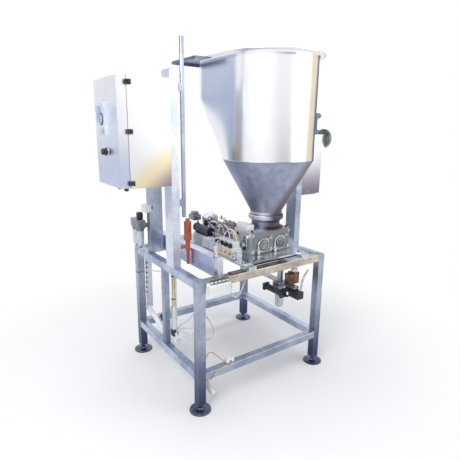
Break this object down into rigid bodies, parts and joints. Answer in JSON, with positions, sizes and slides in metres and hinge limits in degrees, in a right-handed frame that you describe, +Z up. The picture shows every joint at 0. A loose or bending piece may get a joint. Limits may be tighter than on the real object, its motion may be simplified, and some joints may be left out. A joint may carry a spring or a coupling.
{
  "type": "piston liquid filler",
  "caption": "Free-standing piston filler: square-tube frame with a flat-backed cone hopper, twin piston pump, filling nozzle, control cabinet and air box.",
  "frame": {"origin": "centre of the underside of the front left levelling foot, on the floor", "axes": "+Z up, +X to the operator's right along the front rail, +Y from the front to the back"},
  "size_m": [1.6114, 0.999, 2.126],
  "materials": {
    "frame_steel": "brushed stainless tube with welded corners",
    "foot_steel": "dull turned stainless",
    "hopper_steel": "bright brushed stainless sheet",
    "cabinet_steel": "fine brushed stainless sheet",
    "clamp_steel": "cast stainless clamp",
    "pump_steel": "machined stainless",
    "black_plastic": "moulded black plastic",
    "white_plastic": "white plastic",
    "panel_white": "powder-coated panel",
    "sleeve_brown": "red-brown plastic",
    "actuator_navy": "navy enamel",
    "wheel_aluminium": "cast aluminium",
    "filter_grey": "die-cast body with bowls",
    "brass_fitting": "turned brass"
  },
  "bodies": {
    "root": {"leg_front_left": "frame_steel", "leg_front_right": "frame_steel", "leg_rear_left": "frame_steel", "leg_rear_right": "frame_steel", "foot_front_left": "foot_steel", "foot_front_right": "foot_steel", "foot_rear_left": "foot_steel", "foot_rear_right": "foot_steel", "top_rail_front": "frame_steel", "top_rail_rear": "frame_steel", "top_rail_left": "frame_steel", "top_rail_right": "frame_steel", "lower_rail_front": "frame_steel", "lower_rail_rear": "frame_steel", "lower_rail_left": "frame_steel", "lower_rail_right": "frame_steel", "mid_upright": "frame_steel", "cabinet_post": "frame_steel", "box_post": "frame_steel", "rear_post": "frame_steel", "mast": "frame_steel", "drip_sleeve": "sleeve_brown", "side_beam": "frame_steel", "base_plate": "frame_steel", "pump_block": "pump_steel", "bore_cover_left": "pump_steel", "bore_cover_right": "pump_steel", "product_cylinder_left": "pump_steel", "product_cylinder_right": "pump_steel", "air_cylinder_left": "pump_steel", "air_cylinder_right": "pump_steel", "valve_actuator": "actuator_navy", "valve_bank": "white_plastic", "nozzle_body": "pump_steel", "nozzle_cup": "white_plastic", "hopper_body": "hopper_steel", "hopper_cone": "hopper_steel", "neck_clamp": "hopper_steel", "rim_tray": "hopper_steel", "cabinet_body": "cabinet_steel", "back_panel": "panel_white", "air_box": "cabinet_steel", "filter_unit": "filter_grey", "front_manifold": "white_plastic"},
    "left_piston": {"piston_left": "white_plastic", "rod_left": "pump_steel"},
    "right_piston": {"piston_right": "white_plastic", "rod_right": "pump_steel"},
    "valve_rotor": {"valve_rotor": "pump_steel"},
    "valve_plunger": {"valve_plunger": "pump_steel"},
    "shutoff_lever": {"shutoff_lever": "pump_steel"},
    "cabinet_door": {"cabinet_door": "cabinet_steel"},
    "disconnect_handle": {"disconnect_handle": "black_plastic"},
    "selector_knob": {"selector_knob": "black_plastic"},
    "door_clamp_upper": {"door_clamp_upper": "clamp_steel"},
    "door_clamp_middle": {"door_clamp_middle": "clamp_steel"},
    "door_clamp_lower": {"door_clamp_lower": "clamp_steel"},
    "air_box_door": {"air_box_door": "cabinet_steel"},
    "speed_handwheel": {"speed_handwheel": "wheel_aluminium"},
    "filter_knob": {"filter_knob": "black_plastic"}
  },
  "joints": [
    {"name": "left_piston_stroke", "type": "slide", "parent": "root", "child": "left_piston", "axis": [0, 1, 0], "range_m": [0, 0.15]},
    {"name": "right_piston_stroke", "type": "slide", "parent": "root", "child": "right_piston", "axis": [0, 1, 0], "range_m": [0, 0.15]},
    {"name": "valve_turn", "type": "hinge", "parent": "root", "child": "valve_rotor", "pos_m": [0.448, 0.182, 0.966], "axis": [1, 0, 0], "range_deg": [-30, 30]},
    {"name": "valve_plunger_slide", "type": "slide", "parent": "root", "child": "valve_plunger", "axis": [0, 1, 0], "range_m": [-0.0245, 0.0245]},
    {"name": "shutoff_turn", "type": "hinge", "parent": "root", "child": "shutoff_lever", "pos_m": [0.772, 0.182, 0.555], "axis": [0, -1, 0], "range_deg": [0, 90]},
    {"name": "cabinet_door_swing", "type": "hinge", "parent": "root", "child": "cabinet_door", "pos_m": [-0.2689, 0.626, 1.612], "axis": [0, 0, -1], "range_deg": [0, 110]},
    {"name": "disconnect_turn", "type": "hinge", "parent": "cabinet_door", "child": "disconnect_handle", "pos_m": [-0.3458, 0.44, 1.685], "axis": [-1, 0, 0], "range_deg": [0, 90]},
    {"name": "selector_turn", "type": "hinge", "parent": "cabinet_door", "child": "selector_knob", "pos_m": [-0.3218, 0.45, 1.512], "axis": [-1, 0, 0], "range_deg": [-45, 45]},
    {"name": "upper_clamp_turn", "type": "hinge", "parent": "root", "child": "door_clamp_upper", "pos_m": [-0.2563, 0.2577, 1.868], "axis": [0, -1, 0], "range_deg": [0, 90]},
    {"name": "middle_clamp_turn", "type": "hinge", "parent": "root", "child": "door_clamp_middle", "pos_m": [-0.2563, 0.2577, 1.622], "axis": [0, -1, 0], "range_deg": [0, 90]},
    {"name": "lower_clamp_turn", "type": "hinge", "parent": "root", "child": "door_clamp_lower", "pos_m": [-0.2563, 0.2577, 1.352], "axis": [0, -1, 0], "range_deg": [0, 90]},
    {"name": "air_box_door_swing", "type": "hinge", "parent": "root", "child": "air_box_door", "pos_m": [1.1269, 0.513, 1.348], "axis": [0, 0, 1], "range_deg": [0, 110]},
    {"name": "handwheel_turn", "type": "hinge", "parent": "root", "child": "speed_handwheel", "pos_m": [1.2116, 0.275, 1.582], "axis": [1, 0, 0], "continuous": true},
    {"name": "regulator_turn", "type": "hinge", "parent": "root", "child": "filter_knob", "pos_m": [-0.03, 0.735, 1.0383], "axis": [0, 0, 1], "range_deg": [-360, 360]}
  ],
  "couplings": [
    {"joint": "right_piston_stroke", "follows": "left_piston_stroke", "ratio": 1},
    {"joint": "valve_plunger_slide", "follows": "valve_turn", "m_per_rad": 0.0452}
  ]
}
